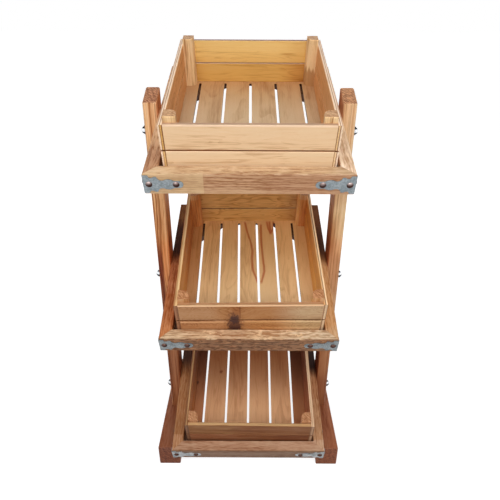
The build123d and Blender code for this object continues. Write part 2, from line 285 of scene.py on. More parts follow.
class Wood(Graph):
    """Nodes of a wood with its grain along one axis of a frame and its face across another."""

    def __init__(self, name, place, grain, across, seed):
        super().__init__(bpy.data.materials.new(name))
        origin, turn = places[place]
        mapping = self.node("Mapping", vector_type="TEXTURE")
        self.named(mapping, Vector=self.coords(), Location=origin, Rotation=turn.to_euler("XYZ"))
        self.axis = dict(zip("xyz", self.split(mapping.outputs[0])))
        self.toward = {letter: turn.col[k] for k, letter in enumerate("xyz")}
        self.grain = grain
        self.third = "xyz".replace(grain, "").replace(across, "")
        # Along the grain, across the face as measured and as the grain bends, and into the piece
        self.run = self.axis[grain]
        self.straight = self.axis[across]
        self.side = self.straight
        self.deep = self.axis[self.third]
        self.face = self.normal()
        self.seed = seed

    def stretched(self, length, width, shift, detail, distortion=0.0):
        """Noise drawn out along the grain."""
        along = self.times_plus(self.run, 1.0 / length, self.seed + shift)
        vector = self.combine(along, self.times(self.side, 1.0 / width), self.times(self.deep, 1.0 / width))
        return self.noise(vector, detail, 0.55, distortion)

    def facing(self, direction):
        """1 on faces towards a direction such as +z."""
        sign = 1 if direction[0] == "+" else -1
        return self.step(self.dot(self.face, self.toward[direction[1]] * sign), *FACING)

    def squarely(self, letter, limits):
        """Share by which faces look along an axis, either way."""
        return self.step(self.math("ABSOLUTE", self.dot(self.face, self.toward[letter])), *limits)

    def bend(self, knots, wander):
        """Push the grain aside at knots, and let it wander slowly."""
        for knot in knots:
            far = self.oval(self.run, self.side, knot["at"], [KNOT_REACH * size for size in knot["size"]])
            near = self.math("EXPONENT", self.times(self.times(far, far), -1.0))
            push = self.times(near, KNOT_FORCE * knot["size"][1])
            away = self.math("SIGN", self.minus(self.side, knot["at"][1]))
            self.side = self.plus(self.side, self.times(push, away))
        long, wide = WANDER_SCALE
        along = self.times_plus(self.run, long, self.seed)
        slow = self.noise(self.combine(along, self.times(self.side, wide), self.times(self.deep, wide)), 1.0)
        self.side = self.about(slow, wander, self.side)

    def figure(self, grit, broad, streak, fleck):
        """Tone of the figure about 0.5, from layers that later steps use again."""
        bands = self.stretched(*BANDS)
        self.stripes = self.stretched(*STRIPES)
        self.flecks = self.stretched(*grit, *FLECKS)
        self.fibres = self.stretched(*FIBRES)
        self.cloud = self.stretched(*CLOUD)
        value = 0.5
        for layer, weight in (
            (bands, WEIGHT["bands"] * broad),
            (self.stripes, WEIGHT["stripes"] * streak),
            (self.flecks, WEIGHT["flecks"] * fleck),
            (self.fibres, WEIGHT["fibres"]),
            (self.cloud, WEIGHT["cloud"] * broad),
        ):
            value = self.about(layer, weight, value)
        return value

    def late_wood(self, value, field, line, strength):
        """Darken a value along lines of a field that come on slowly and end sharply, with its mean kept."""
        start, darkest, ended = line
        mean = 0.35
        place = self.math("FRACT", field)
        late = self.times(self.step(place, start, darkest), self.step(place, 1.0, ended))
        return self.times_plus(late, -strength, self.plus(value, mean * strength))

    def trace(self, colour, path, width, strength, tone):
        """Draw a single line of the figure along a path of run and side."""
        path = sorted(path)
        start, stop = path[0][0], path[-1][0]
        low = min(side for run, side in path)
        span = max(side for run, side in path) - low
        along = self.over(self.minus(self.run, start), stop - start)
        stops = [((run - start) / (stop - start), grey((side - low) / span)) for run, side in path]
        course = self.times_plus(self.ramp(along, stops, "CARDINAL"), span, low)
        course = self.about(self.flecks, TRACE_WAVER, course)
        off = self.math("ABSOLUTE", self.minus(self.straight, course))
        near = self.step(off, width, TRACE_CORE * width)
        line = self.times(near, self.between(self.run, start, stop, TRACE_FADE))
        return self.mix(self.times(line, strength), colour, linear(*tone))

    def stain_and_shade(self, colour, tint, facing=None, mottle=None, ragged=None, amount=1.0, cover=False, **ranges):
        """Give a place a tone of its own, for stains and for painted light and shade alike.

        tint: factors of red, green and blue, or the screen colour that covers the wood
        facing: only on faces towards this direction
        mottle: only in blotches, as (length, width, level, softness)
        ragged: how far the stripes shift the ends of the ranges
        ranges: (low, high, softness) along x, y and z
        """
        parts = []
        for letter, limits in ranges.items():
            along = self.axis[letter]
            if ragged:
                along = self.about(self.stripes, ragged, along)
            parts.append(self.between(along, *limits))
        if facing:
            parts.append(self.facing(facing))
        if mottle:
            length, width, level, soft = mottle
            parts.append(self.step(self.stretched(length, width, *MOTTLE), level, level + soft))
        mask = amount
        for part in parts:
            mask = self.times(part, mask)
        if cover:
            return self.mix(mask, colour, linear(*tint))
        return self.mix(mask, colour, (*tint, 1.0), "MULTIPLY")

    def knot(self, colour, at, size, halo, core):
        """Dark oval with a ragged rim and a paler halo."""
        long, wide = KNOT_SCALE
        vector = self.combine(self.times(self.run, long), self.times(self.straight, wide), self.seed)
        ragged = self.noise(vector, 4.0, 0.65)
        far = self.about(ragged, KNOT_RAGGED, self.oval(self.run, self.straight, at, size))
        colour = self.mix(self.step(far, *KNOT_HALO), colour, linear(*halo))
        return self.mix(self.step(far, *KNOT_CORE), colour, linear(*core))

    def plies(self, colour, outer, inner, top, end=None):
        """Show plies on the narrow faces, as (place, red, green, blue) from the outer to the inner face."""
        layer = self.over(self.minus(self.deep, outer), inner - outer)
        layer = self.about(self.cloud, PLY_WAVER, layer)
        shown = self.ramp(layer, [(place, linear(*shade)) for place, *shade in top])
        if end:
            ends = self.ramp(layer, [(place, linear(*shade)) for place, *shade in end])
            shown = self.mix(self.squarely(self.grain, FACING), shown, ends)
        shown = self.mix(self.step(self.flecks, *PLY_WEAR), shown, PLY_WEAR_TINT, "MULTIPLY")
        return self.mix(self.squarely(self.third, NARROW_FACING), colour, shown)

    def end_grain(self, colour, dark, light):
        """Short arcs across the ends of the piece."""
        slant = self.times(self.plus(self.straight, self.deep), END_ARCS[0])
        other = self.times(self.minus(self.straight, self.deep), END_ARCS[1])
        arcs = self.noise(self.combine(slant, other, self.seed), 3.0, 0.6, 0.5)
        shown = self.ramp(arcs, [(0.38, linear(*dark)), (0.62, linear(*light))])
        return self.mix(self.squarely(self.grain, END_FACING), colour, shown)


def wood(name, place, grain, across, tone, depth=0.22, lift=0.12, seed=0.0, broad=1.0, streak=1.0, fleck=1.0,
         grit=(0.024, 0.0034), pore=1.0, wander=0.014, rings=None, swirl=None, patches=(), traces=(),
         knots=(), edge=None, end=None, gloss=0.2):
    """Material of one wooden piece.

    place, grain, across: frame of the piece, and its axes along the grain and across the face
    tone, depth, lift: middle colour, and how far the dark and light figure depart from it
    broad, streak, fleck, pore: strength of bands, stripes, flecks and pores
    grit: length and width of the flecks
    wander: how far the grain strays sideways
    rings: growth rings about a pith, as (across, deep, spacing, strength)
    swirl: figure of peeled veneer, as (length, width, lines, strength)
    patches, traces, knots, edge, end: what Wood.stain_and_shade, trace, knot, plies and end_grain take
    """
    g = Wood(name, place, grain, across, seed)
    g.bend(knots, wander)
    value = g.figure(grit, broad, streak, fleck)
    if rings:
        *pith, spacing, strength = rings
        radius = g.about(g.cloud, RING_WAVER, g.oval(g.side, g.deep, pith, (spacing, spacing)))
        value = g.late_wood(value, radius, RING_LINE, strength)
    if swirl:
        length, width, lines, strength = swirl
        field = g.times(g.stretched(length, width, *SWIRL), lines)
        value = g.late_wood(value, field, SWIRL_LINE, strength)
    dark, middle, light = (linear(*shade) for shade in shades(tone, depth, lift))
    colour = g.ramp(value, [(0.05, dark), (0.5, middle), (0.95, light)])
    pores = g.step(g.stretched(*PORES), 0.6, 0.72)
    colour = g.mix(g.times(pores, 0.3 * pore), colour, dark)
    for trace in traces:
        colour = g.trace(colour, **trace)
    for stain_and_shade in patches:
        colour = g.stain_and_shade(colour, **stain_and_shade)
    for knot in knots:
        colour = g.knot(colour, **knot)
    if edge:
        colour = g.plies(colour, **edge)
    if end:
        colour = g.end_grain(colour, *end)
    relief = g.bump(g.times_plus(g.stripes, 0.6, g.times(g.fibres, 0.6)), *WOOD_RELIEF)
    roughness = g.step(value, 0.1, 0.9, *WOOD_ROUGHNESS, smooth=False)
    surface = g.shader(
        "BsdfPrincipled", Base_Color=colour, Roughness=roughness, Specular_IOR_Level=gloss, Normal=relief,
    )
    return g.output(surface)


def metal(name, tones, rough, scale, speck=0.0, bump=0.0, painted_shade=None, bands=None):
    """Plated or polished metal with cloudy tone and roughness.

    painted_shade: painted shade where it faces away from a direction, as (direction, low, high, shade)
    bands: dark reflections below low and above high, as (low, high, shade)
    """
    g = Graph(bpy.data.materials.new(name))
    coords = g.coords()
    cloud = g.noise(g.scaled(coords, scale), 4.0, 0.6)
    tone = g.about(g.noise(g.scaled(coords, 6.0 * scale), 1.0), speck, cloud) if speck else cloud
    colour = g.ramp(tone, [(0.3, linear(*tones[0])), (0.7, linear(*tones[1]))])
    sockets = {"Metallic": 1.0, "Specular_IOR_Level": 0.1}
    sockets["Roughness"] = g.step(cloud, 0.3, 0.7, *rough, smooth=False)
    if painted_shade:
        direction, low, high, shade = painted_shade
        lit = g.step(g.dot(g.normal(), Vector(direction).normalized()), low, high)
        colour = g.mix(lit, linear(*shade), colour)
    if bands:
        low, high, shade = bands
        blur = 0.0007
        height = g.split(coords)[2]
        dim = g.math("MAXIMUM", g.step(height, high, high + blur), g.step(height, low, low - blur))
        colour = g.mix(dim, colour, linear(*shade))
        sockets["Metallic"] = g.minus(1.0, dim)
    if bump:
        sockets["Normal"] = g.bump(cloud, bump, 0.0004)
    surface = g.shader("BsdfPrincipled", Base_Color=colour, **sockets)
    return g.output(surface)


def paint(node, material):
    """Give a carried-over node its material."""
    mesh = nodes[node].data
    mesh.materials.clear()
    mesh.materials.append(material)


# Open ends of a patch's range, beyond the ends of every tray and crate
START, STOP = -0.6, 0.6


def patch(tint, **how):
    """One patch of a piece, for stains and for painted light and shade alike, as Wood.stain_and_shade takes
    it.
    """
    return {"tint": tint, **how}


def on_front(tint, **how):
    return patch(tint, facing="-y", **how)


def on_top(tint, **how):
    return patch(tint, facing="+z", **how)


# Posts: striped above, redder and darker towards the floor, with stains at the middle tray
post_wood = {"left": (215, 162, 113), "right": (216, 173, 128)}
post_ends = {"left": ((122, 72, 48), (206, 148, 108)), "right": ((130, 82, 54), (220, 164, 118))}
# Inner faces of the posts: painted shade, redder on the left post and darker on the right
post_inner_shade = {"left": (1.11, 0.95, 0.89), "right": (0.84, 0.64, 0.66)}
post_contrast = {"left": 1.0, "right": 0.55}
post_stains = {
    "left": (
        patch((0.88, 0.72, 0.58), z=(0.4, 0.7, 0.1)),
        on_front((0.34, 0.2, 0.2), z=(0.38, 0.61, 0.04), x=(START, -0.2185, 0.003), ragged=0.01),
        patch((0.78, 0.66, 0.56), z=(0.8, 1.1, 0.03), x=(-0.219, -0.213, 0.003)),
        patch((1.1, 1.14, 1.14), z=(0.7, 0.9, 0.03)),
        patch((1.04, 0.88, 0.78), z=(0.5, 0.62, 0.03)),
        patch((0.77, 0.7, 0.73), z=(0.09, 0.34, 0.02)),
    ),
    "right": (
        patch((0.95, 0.8, 0.72), z=(0.4, 0.66, 0.08)),
        patch((0.66, 0.5, 0.4), z=(0.58, 0.68, 0.03), x=(START, 0.212, 0.004)),
        patch((0.78, 0.68, 0.6), z=(0.86, 1.1, 0.03), x=(0.222, 0.226, 0.002)),
        patch((1.08, 1.18, 1.2), z=(0.63, 0.72, 0.02)),
        patch((0.8, 0.75, 0.72), z=(0.46, 0.585, 0.02)),
        patch((0.88, 0.77, 0.71), z=(START, 0.32, 0.02)),
        patch((0.76, 0.66, 0.64), z=(START, 0.185, 0.03)),
    ),
}
foot_wood = {"left": (141, 81, 51), "right": (160, 97, 65)}
foot_ends = {"left": ((86, 44, 28), (138, 78, 52)), "right": ((94, 50, 31), (148, 86, 56))}
for word, sign in SIDES.items():
    contrast = post_contrast[word]
    paint(f"{word}_post", wood(
        f"{word}_post_wood", "stand", "z", "x", post_wood[word], depth=0.3, lift=0.24, seed=4.0 * sign,
        streak=2.0 * contrast, fleck=0.5, grit=(0.1, 0.0022), wander=0.01,
        rings=(0.3 * sign, 0.05, 0.006, 0.34 * contrast), end=post_ends[word],
        patches=(
            patch((0.6, 0.42, 0.33), z=(START, 0.4, 0.09)),
            patch((0.6, 0.45, 0.36), mottle=(0.45, 0.0034, 0.56, 0.04), amount=0.9 * contrast),
            patch((1.16, 1.22, 1.26), mottle=(0.4, 0.006, 0.56, 0.05), amount=0.9 * contrast),
            patch(post_inner_shade[word], facing="+x" if word == "left" else "-x"),
        ) + post_stains[word],
    ))
    paint(f"{word}_foot", wood(
        f"{word}_foot_wood", "stand", "y", "x", foot_wood[word], depth=0.24, lift=0.1, seed=9.0 + sign,
        fleck=0.7, rings=(0.3 * sign, -0.04, 0.006, 0.2), end=foot_ends[word],
    ))
paint("tray_tongues", wood("tongue_wood", "stand", "x", "y", (190, 148, 102), depth=0.18, lift=0.15))

# Trays: tones of their front, back, left and right bars, then staves, stains and painted light and shade
tray_wood = {
    "top": ((209, 171, 132), (190, 145, 102), (224, 178, 135), (247, 221, 189)),
    "middle": ((214, 178, 140), (164, 110, 72), (197, 123, 76), (205, 154, 104)),
    "bottom": ((172, 128, 98), (150, 102, 70), (168, 112, 69), (193, 145, 104)),
}
gusset_wood = (84, 54, 36)
tray_contrast = {"top_right": 0.55, "top_front": 0.85, "middle_front": 1.2, "top_left": 1.6}
pale_blotches = tuple(
    on_top((236, 202, 160), x=(low, high, 0.008), mottle=(0.016, 0.008, 0.5, 0.1), cover=True, amount=0.66)
    for low, high in ((-0.102, -0.058), (0.01, 0.05), (0.082, 0.12))
)
# Painted shade on the rear of the rails' tops, under the tray above
rear_shade = on_top((0.4, 0.36, 0.34), y=(0.25, 0.37, 0.05))
tray_patches = {
    "top_front": (
        on_front((0.88, 0.8, 0.77), x=(-0.087, STOP, 0.0006)),
        on_front((206, 172, 128), x=(START, -0.087, 0.0006), cover=True, amount=0.45),
        on_front((0.9, 0.84, 0.83), x=(0.03, STOP, 0.03)),
        # Lighter left end of the top face, by the mitre: painted highlight
        on_top((1.2, 1.23, 1.23), x=(START, -0.15, 0.02)),
        on_front((0.66, 0.52, 0.46), x=(-0.087, STOP, 0.0006), z=(-0.04, -0.004, 0.004),
                 mottle=(0.16, 0.004, 0.52, 0.05), amount=0.5),
        on_top((0.74, 0.64, 0.58), mottle=(0.03, 0.004, 0.54, 0.06), amount=0.8),
        on_top((238, 204, 168), mottle=(0.022, 0.005, 0.55, 0.06), cover=True, amount=0.4),
        # Dimmer top face: painted shade
        on_top((0.86, 0.88, 0.88)),
    ),
    "top_left": (
        patch((0.67, 0.58, 0.55), y=(START, 0.085, 0.03)),
        patch((0.6, 0.48, 0.42), y=(0.02, 0.1, 0.04), mottle=(0.07, 0.009, 0.5, 0.08)),
    ),
    "top_right": (
        patch((0.92, 0.86, 0.79), y=(0.1, STOP, 0.03)),
        # Paler, bluer front end of the rail: painted highlight
        patch((1.07, 1.11, 1.18), y=(START, 0.035, 0.01)),
    ),
    "middle_front": (
        # Darker front face: painted shade
        on_front((0.405, 0.288, 0.223)),
        on_front((0.5, 0.42, 0.36), mottle=(0.014, 0.0055, 0.5, 0.06), amount=0.9),
        on_front((1.5, 1.45, 1.36), mottle=(0.022, 0.0055, 0.55, 0.05), amount=0.9),
        on_top((0.8, 0.74, 0.68), mottle=(0.02, 0.004, 0.52, 0.08), amount=0.8),
        on_top((0.98, 1.03, 1.07)),
        on_top((0.9, 0.82, 0.79), x=(-0.075, -0.01, 0.01)),
        on_top((1.04, 1.13, 1.24), x=(0.08, STOP, 0.03)),
    ) + pale_blotches,
    "middle_left": (
        patch((0.8, 0.7, 0.64), mottle=(0.05, 0.008, 0.5, 0.12), amount=0.8),
        patch((0.88, 0.88, 0.98), y=(0.1285, STOP, 0.0008)),
        patch((0.82, 0.76, 0.74), y=(START, 0.1285, 0.0008)),
        # Paler, bluer front end of the rail: painted highlight
        patch((1.18, 1.32, 1.36), y=(START, 0.05, 0.012)),
        # Painted shadow of the top tray on the rail's rear top, with painted light again at its far end
        on_top((0.29, 0.23, 0.115), y=(0.245, STOP, 0.025)),
        on_top((2.0, 2.6, 3.4), y=(0.385, STOP, 0.02)),
        rear_shade,
    ),
    "middle_right": (
        patch((0.86, 0.78, 0.7), mottle=(0.05, 0.008, 0.5, 0.12), amount=0.8),
        # Painted shadow of the top tray on the rail's rear top
        on_top((0.325, 0.2, 0.14), y=(0.245, STOP, 0.025)),
        # Paler, bluer front end of the rail: painted highlight
        patch((1.0, 1.12, 1.34), y=(START, 0.035, 0.01)),
        rear_shade,
    ),
    "bottom_left": (
        patch((0.85, 0.83, 0.8), y=(0.0, 0.09, 0.02)),
        # Paler, bluer front end of the rail: painted highlight
        patch((1.22, 1.34, 1.6), y=(START, 0.043, 0.0015)),
        # Painted shadow of the middle tray on the rail's rear top
        on_top((0.155, 0.09, 0.066), y=(0.245, STOP, 0.035)),
    ),
    "bottom_front": (
        # Darker front face: painted shade
        on_front((0.45, 0.395, 0.3)),
        on_top((1.05, 1.06, 1.08), x=(0.078, STOP, 0.0008)),
    ),
    "bottom_right": (
        patch((0.92, 0.82, 0.77), y=(0.145, STOP, 0.0008)),
        patch((0.9, 0.88, 0.87), y=(0.0, 0.09, 0.02)),
        # Paler, bluer front end of the rail: painted highlight
        patch((1.1, 1.22, 1.5), y=(START, 0.03, 0.0015)),
        # Painted shadow of the middle tray on the rail's rear top
        on_top((0.065, 0.045, 0.055), y=(0.228, STOP, 0.02)),
    ),
}
check = {"width": 0.0024, "strength": 0.6, "tone": (74, 46, 34)}
tray_traces = {
    "middle_front": (
        {"path": ((-0.118, -0.017), (-0.06, -0.0205), (-0.01, -0.018), (0.05, -0.0215),
                  (0.112, -0.019)), **check},
        {"path": ((-0.06, -0.033), (-0.02, -0.0345), (0.03, -0.032)), **check},
        {"path": ((0.005, -0.011), (0.04, -0.0125), (0.07, -0.0105)), **check},
    ),
}
for row, tier in enumerate(TIERS):
    for count, (part, tone) in enumerate(zip(WALLS, tray_wood[tier])):
        key = f"{tier}_{part}"
        kind, grain, across = ("bar", "x", "z") if part in ("front", "back") else ("rail", "y", "x")
        contrast = tray_contrast.get(key, 1.0)
        paint(f"{tier}_tray_{part}_{kind}", wood(
            f"{key}_bar_wood", f"{tier}_tray", grain, across, tone, depth=0.26, lift=0.18,
            seed=17.0 * row + 5.0 * count, streak=1.1 * contrast, fleck=1.2 * contrast, grit=(0.018, 0.0028),
            rings=(0.1, 0.06, 0.006, 0.2), gloss=0.08 if tier == "middle" and kind == "rail" else 0.2,
            patches=tray_patches.get(key, ()), traces=tray_traces.get(key, ()),
        ))
    paint(f"{tier}_tray_corner_gussets", wood(
        f"{tier}_gusset_wood", f"{tier}_tray", "x", "y", gusset_wood, seed=31.0 + row,
    ))

# Crates: tones of their front, back, left and right walls, and tint of the lower course
crate_wood = {
    "top": ((230, 193, 151), (235, 195, 120), (225, 164, 107), (228, 168, 112)),
    "middle": ((178, 128, 86), (240, 187, 117), (202, 130, 70), (235, 162, 82)),
    "bottom": ((132, 82, 46), (150, 96, 60), (156, 95, 55), (160, 96, 61)),
}
lower_tint = {
    "top_front": (1.03, 1.08, 1.12),
    "top_back": (0.8, 0.69, 0.53),
    "top_left": (0.87, 0.84, 0.83),
    "middle_front": (1.27, 1.31, 1.22),
    "middle_back": (0.89, 0.89, 0.83),
    "middle_right": (1.11, 1.24, 1.35),
    "bottom_front": (0.88, 0.8, 0.82),
    "bottom_left": (1.14, 1.18, 1.17),
    "bottom_right": (1.12, 1.15, 1.3),
}
board_contrast = {"bottom_front": 2.0, "middle_back": 1.7, "top_back": 1.5, "top_front": 1.35}
plain_swirl = (0.17, 0.03, 9.0, 0.16)
board_swirl = {"middle_front": (0.05, 0.026, 12.0, 0.24), "middle_back": (0.11, 0.018, 8.0, 0.36)}

# Plies on the boards' edges: place from the outer face to the inner one, and tone
plies = {
    "top_left": ((0, 170, 136, 110), (0.14, 176, 142, 116), (0.24, 248, 222, 196), (0.42, 246, 220, 194),
                 (0.47, 176, 126, 90), (0.56, 176, 126, 90), (0.62, 246, 220, 190), (0.92, 246, 220, 190),
                 (1, 190, 146, 108)),
    "top_back": ((0, 122, 88, 85), (0.5, 137, 102, 98), (1, 147, 111, 105)),
    "top_front": ((0, 228, 196, 167), (0.14, 218, 187, 156), (0.3, 184, 149, 121), (1, 177, 143, 114)),
    "middle_left": ((0, 125, 82, 53), (0.15, 185, 138, 92), (0.45, 205, 160, 110), (0.55, 232, 195, 143),
                    (0.9, 232, 195, 143), (1, 162, 114, 75)),
    "middle_right": ((0, 169, 118, 83), (0.1, 255, 220, 177), (0.38, 255, 231, 188), (0.48, 153, 101, 65),
                     (0.6, 169, 118, 76), (0.7, 231, 188, 139), (0.95, 231, 188, 139), (1, 158, 107, 69)),
    "middle_front": ((0, 216, 172, 126), (0.16, 198, 154, 112), (0.4, 176, 130, 92), (0.6, 176, 128, 88),
                     (1, 198, 154, 114)),
    "middle_back": ((0, 140, 92, 50), (1, 140, 92, 50)),
    "bottom_left": ((0, 108, 70, 44), (0.3, 138, 96, 62), (0.42, 190, 146, 102), (0.6, 190, 146, 102),
                    (0.72, 128, 88, 56), (1, 110, 72, 46)),
    "bottom_right": ((0, 163, 124, 90), (0.12, 226, 192, 156), (0.5, 226, 192, 156), (0.58, 174, 133, 99),
                     (0.68, 226, 194, 161), (0.95, 215, 179, 143), (1, 141, 100, 68)),
    "bottom_front": ((0, 142, 99, 61), (0.2, 197, 157, 110), (0.8, 191, 150, 104), (1, 133, 91, 57)),
    "bottom_back": ((0, 120, 76, 46), (1, 120, 76, 46)),
}
plies["top_right"] = plies["top_left"]
# Top edges of the lower boards, in the gap under the upper course: plies toned as painted shade, and as
# painted light on the top crate's back
shaded_lower_plies = {
    "top": ((0, 206, 160, 120), (0.1, 170, 118, 78), (0.3, 146, 94, 56), (1, 128, 78, 44)),
    "middle": ((0, 150, 100, 66), (0.14, 130, 84, 54), (0.3, 104, 64, 40), (1, 96, 58, 36)),
    "bottom": ((0, 176, 130, 94), (0.14, 150, 106, 74), (0.24, 84, 50, 30), (1, 80, 48, 30)),
    "top_back": ((0, 229, 186, 148), (1, 233, 190, 153)),
    "middle_back": ((0, 132, 86, 48), (1, 132, 86, 48)),
    "middle_front": ((0, 96, 56, 34), (0.14, 84, 48, 28), (0.3, 70, 38, 22), (1, 66, 36, 20)),
    "top_front": ((0, 226, 174, 125), (0.1, 187, 128, 81), (0.3, 161, 102, 58), (1, 141, 85, 46)),
}
ply_ends = {
    "top_left": ((0.33, 244, 214, 182), (0.38, 160, 108, 62), (0.48, 168, 116, 64), (0.54, 214, 166, 96),
                 (0.76, 214, 166, 96), (0.82, 136, 84, 46)),
    "top_right": ((0.3, 244, 216, 186), (0.36, 146, 98, 72), (0.48, 146, 98, 72), (0.55, 230, 194, 142),
                  (0.78, 226, 190, 138), (0.84, 164, 112, 70)),
    "top_left_lower": ((0.33, 250, 222, 192), (0.38, 190, 140, 92), (0.48, 196, 146, 96),
                       (0.54, 228, 186, 124), (0.76, 228, 186, 124), (0.82, 160, 106, 64)),
    "top_right_lower": ((0.3, 255, 230, 204), (0.36, 172, 122, 94), (0.48, 172, 122, 94),
                        (0.55, 244, 214, 170), (0.78, 240, 210, 166), (0.84, 190, 138, 94)),
    "middle_left": ((0, 131, 85, 57), (0.3, 170, 120, 87), (0.6, 146, 98, 68), (1, 120, 76, 51)),
    "middle_right": ((0, 138, 99, 70), (0.2, 224, 193, 156), (0.55, 229, 198, 161), (0.7, 140, 92, 59),
                     (1, 201, 159, 120)),
    "bottom_left": ((0, 104, 68, 46), (0.4, 140, 100, 72), (0.6, 116, 78, 52), (1, 96, 62, 42)),
    "bottom_right": ((0, 120, 84, 58), (0.3, 186, 150, 120), (0.6, 170, 132, 102), (1, 110, 74, 48)),
}

# Knots of the boards, painted highlights along their top edges, painted light and shade, and other patches of
# tone
knot_tones = {"halo": (122, 72, 44), "core": (66, 40, 36)}
board_knots = {
    "middle_front": (
        {"at": (-0.0362, 0.012), "size": (0.016, 0.028), **knot_tones},
        {"at": (-0.0355, 0.034), "size": (0.0125, 0.019), **knot_tones},
    ),
}
board_patches = {
    "top_front_upper": (
        # Pale band along the top edge: painted highlight
        on_front((240, 207, 176), z=(0.0806, STOP, 0.0008), cover=True, amount=0.85),
    ),
    "top_front_lower": (
        # Pale band along the top edge: painted highlight
        on_front((238, 200, 160), z=(0.0272, STOP, 0.0006), cover=True, amount=0.6),
    ),
    "middle_front_lower": (
        # Pale band along the top edge: painted highlight
        on_front((222, 178, 134), z=(0.0226, 0.0262, 0.0008), cover=True, amount=0.7),
        on_front((0.86, 0.78, 0.78), x=(START, -0.01, 0.04)),
        on_front((0.91, 0.83, 0.72), x=(-0.055, 0.06, 0.02)),
        on_front((1.0, 1.25, 1.5), x=(0.09, STOP, 0.035)),
        # Lighter foot on the right, over the shadow at the joint with the tray: painted light
        on_front((1.4, 1.45, 1.5), x=(0.0, STOP, 0.05), z=(START, 0.004, 0.003)),
    ),
    "middle_front_upper": (
        patch((0.84, 0.72, 0.6), x=(-0.04, -0.0232, 0.004), z=(0.05, STOP, 0.012)),
        patch((0.56, 0.42, 0.34), x=(-0.0242, -0.0222, 0.0006), z=(0.04, STOP, 0.004)),
        on_front((0.92, 0.8, 0.62), x=(-0.075, 0.055, 0.02)),
        on_front((1.2, 1.55, 1.9), x=(0.09, STOP, 0.035)),
        # Pale band along the top edge: painted highlight
        on_front((246, 204, 160), z=(0.08, STOP, 0.0008), cover=True, amount=0.85),
    ),
    "bottom_front_upper": (
        patch((0.8, 0.72, 0.64), x=(-0.14, -0.02, 0.03), mottle=(0.06, 0.008, 0.5, 0.08)),
        on_front((1.12, 1.23, 1.16), x=(START, -0.035, 0.02)),
        on_front((0.95, 0.9, 0.79), x=(-0.035, 0.1, 0.02)),
    ),
    "bottom_front_lower": (
        on_front((1.22, 1.25, 1.42), x=(START, -0.03, 0.03)),
        on_front((0.82, 0.74, 0.78), x=(0.07, STOP, 0.02)),
    ),
    "top_back_upper": (
        # Darker lower part of the board: painted shade
        patch((0.94, 0.86, 0.76), z=(0.0, 0.048, 0.016)),
        patch((0.74, 0.62, 0.5), x=(0.075, 0.105, 0.01), z=(0.0525, 0.0555, 0.0012)),
    ),
}

# Soft shade inside the crates. Back walls: tint in the middle, then end, softness and tint at left and right.
# Side walls: tint in front, then start, softness and tint towards the back.
back_shade = {
    "top_upper": (
        (1.0, 1.0, 1.0), (-0.14, 0.02, (0.92, 0.93, 0.95)), (0.1, 0.035, (0.92, 0.86, 0.79)),
    ),
    "top_lower": (
        (1.03, 1.04, 1.05), (-0.125, 0.03, (0.79, 0.69, 0.61)), (0.1, 0.035, (0.82, 0.67, 0.59)),
    ),
    "middle_upper": (
        (0.96, 1.0, 1.01), (-0.115, 0.03, (0.73, 0.66, 0.66)), (0.105, 0.035, (0.68, 0.66, 0.75)),
    ),
    "middle_lower": (
        (1.03, 1.04, 1.03), (-0.115, 0.03, (0.7, 0.58, 0.56)), (0.105, 0.035, (0.66, 0.56, 0.55)),
    ),
}
side_shade = {
    "middle_left": ((1.14, 1.36, 1.38), (-0.03, 0.09, (0.7, 0.54, 0.51))),
    "middle_right": ((1.0, 1.06, 1.1), (0.0, 0.14, (0.82, 0.68, 0.58))),
    "bottom_left": ((1.36, 1.36, 1.24), (-0.05, 0.11, (0.33, 0.32, 0.42))),
    "bottom_right": ((1.26, 1.24, 1.26), (-0.05, 0.11, (0.4, 0.39, 0.44))),
}

# Crate floors: painted shade towards the back, strips between the slots, knots and red lines
floor_wood = {"top": (212, 183, 146), "middle": (226, 190, 142), "bottom": (224, 172, 127)}
floor_painted_shade = {"top": (0.77, 0.53, 0.31), "middle": (1.02, 0.86, 0.66), "bottom": (0.44, 0.28, 0.2)}
painted_shade_from = {"top": 0.12, "middle": -0.02, "bottom": -0.04}
painted_shade_soft = 0.14
# Slots of a floor: number, middle of their pattern, spacing
slots = {"top": (5, 0.0007, 0.0621), "middle": (6, -0.0028, 0.04968), "bottom": (5, -0.0044, 0.0621)}
slot_soft = 0.0004
slot_sides = ((0, 62, 36, 22), (1, 74, 44, 28))
strip_tints = {
    "top": (0.91, 0.96, 1.02, 1.02, 0.94, 0.96),
    "middle": (0.72, 0.94, 1.0, 1.0, 1.0, 1.05, 0.98),
    "bottom": (0.78, 1.05, 1.02, 1.04, 1.14, 0.62),
}
lower_swirl = (0.26, 0.04, 10.0, 0.13)
floor_swirl = {"top": (0.2, 0.055, 6.0, 0.14), "middle": lower_swirl, "bottom": lower_swirl}
floor_knots = {
    "bottom": (
        {"at": (-0.0226, -0.154), "size": (0.005, 0.0035), "halo": (130, 78, 52), "core": (88, 52, 38)},
        {"at": (0.0136, -0.0869), "size": (0.006, 0.0045), "halo": (164, 106, 70), "core": (126, 74, 48)},
    ),
}
red = {"width": 0.0048, "strength": 0.8, "tone": (176, 92, 54)}
floor_traces = {
    "middle": (
        {"path": ((0.18, -0.0111), (0.115, 0.0001), (0.07, 0.0077), (0.033, 0.007), (-0.008, 0.0095),
                  (-0.048, 0.0206)), **red},
        {"path": ((0.17, 0.0338), (0.095, 0.0331), (0.02, 0.0362), (-0.009, 0.0374),
                  (-0.048, 0.0289)), **red},
        {"path": ((0.182, 0.0515), (0.15, 0.0548), (0.131, 0.06)), **red},
        {"path": ((0.18, 0.07), (0.15, 0.0672), (0.131, 0.0602)), **red},
        {"path": ((0.182, 0.059), (0.155, 0.0593), (0.14, 0.061)), **red},
    ),
}

